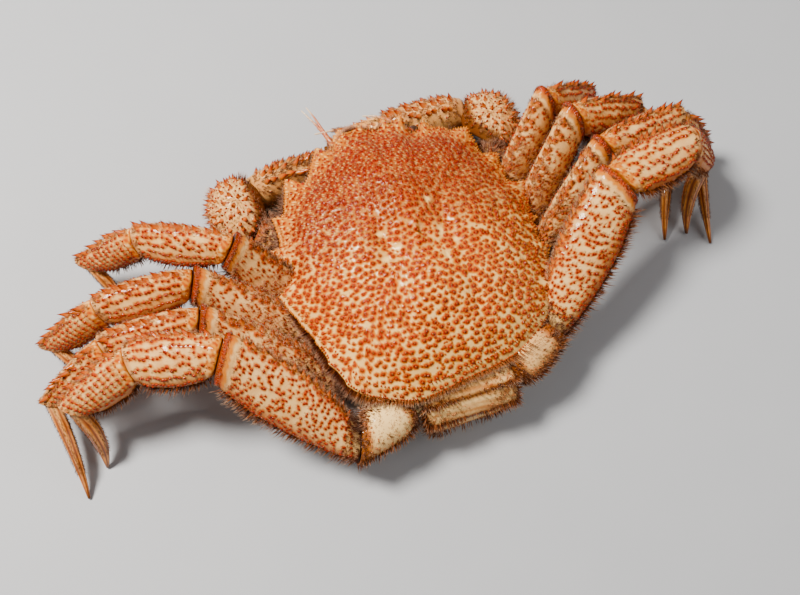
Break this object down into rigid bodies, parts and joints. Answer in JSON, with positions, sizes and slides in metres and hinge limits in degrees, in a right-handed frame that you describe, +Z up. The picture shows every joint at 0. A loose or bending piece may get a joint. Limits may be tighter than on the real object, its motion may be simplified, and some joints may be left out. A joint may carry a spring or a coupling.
{
  "type": "horsehair crab",
  "caption": "Horsehair crab lying on its belly with its legs folded: spiny tubercled shell, bristle-edged legs and short claws held in front of the mouth.",
  "frame": {"origin": "on the flat belly plate that rests on the floor, under the middle of the shell", "axes": "+Z up, +Y towards the crab's front, +X towards the crab's right"},
  "size_m": [0.2718, 0.1324, 0.052],
  "materials": {
    "back_shell": "satin",
    "limb_shell": "satin",
    "pale_shell": "satin",
    "dark_claw": "gloss",
    "feeler": "satin",
    "eye": "gloss",
    "bristle": "matte"
  },
  "bodies": {
    "root": {"abdomen": "pale_shell", "antenna_left": "feeler", "antenna_right": "feeler", "antennules": "feeler", "carapace": "back_shell", "claw_carpus_left": "limb_shell", "claw_carpus_right": "limb_shell", "claw_coxa_left": "pale_shell", "claw_coxa_right": "pale_shell", "claw_finger_left": "dark_claw", "claw_finger_right": "dark_claw", "claw_merus_left": "limb_shell", "claw_merus_right": "limb_shell", "claw_palm_left": "limb_shell", "claw_palm_right": "limb_shell", "eye_left": "eye", "eye_right": "eye", "leg_2_carpus_left": "limb_shell", "leg_2_carpus_right": "limb_shell", "leg_2_coxa_left": "pale_shell", "leg_2_coxa_right": "pale_shell", "leg_2_dactyl_left": "dark_claw", "leg_2_dactyl_right": "dark_claw", "leg_2_merus_left": "limb_shell", "leg_2_merus_right": "limb_shell", "leg_2_propodus_left": "limb_shell", "leg_2_propodus_right": "limb_shell", "leg_3_carpus_left": "limb_shell", "leg_3_carpus_right": "limb_shell", "leg_3_coxa_left": "pale_shell", "leg_3_coxa_right": "pale_shell", "leg_3_dactyl_left": "dark_claw", "leg_3_dactyl_right": "dark_claw", "leg_3_merus_left": "limb_shell", "leg_3_merus_right": "limb_shell", "leg_3_propodus_left": "limb_shell", "leg_3_propodus_right": "limb_shell", "leg_4_carpus_left": "limb_shell", "leg_4_carpus_right": "limb_shell", "leg_4_coxa_left": "pale_shell", "leg_4_coxa_right": "pale_shell", "leg_4_dactyl_left": "dark_claw", "leg_4_dactyl_right": "dark_claw", "leg_4_merus_left": "limb_shell", "leg_4_merus_right": "limb_shell", "leg_4_propodus_left": "limb_shell", "leg_4_propodus_right": "limb_shell", "leg_5_carpus_left": "limb_shell", "leg_5_carpus_right": "limb_shell", "leg_5_coxa_left": "pale_shell", "leg_5_coxa_right": "pale_shell", "leg_5_dactyl_left": "dark_claw", "leg_5_dactyl_right": "dark_claw", "leg_5_merus_left": "limb_shell", "leg_5_merus_right": "limb_shell", "leg_5_propodus_left": "limb_shell", "leg_5_propodus_right": "limb_shell", "maxilliped_left": "pale_shell", "maxilliped_right": "pale_shell", "thorax": "pale_shell"}
  },
  "joints": []
}
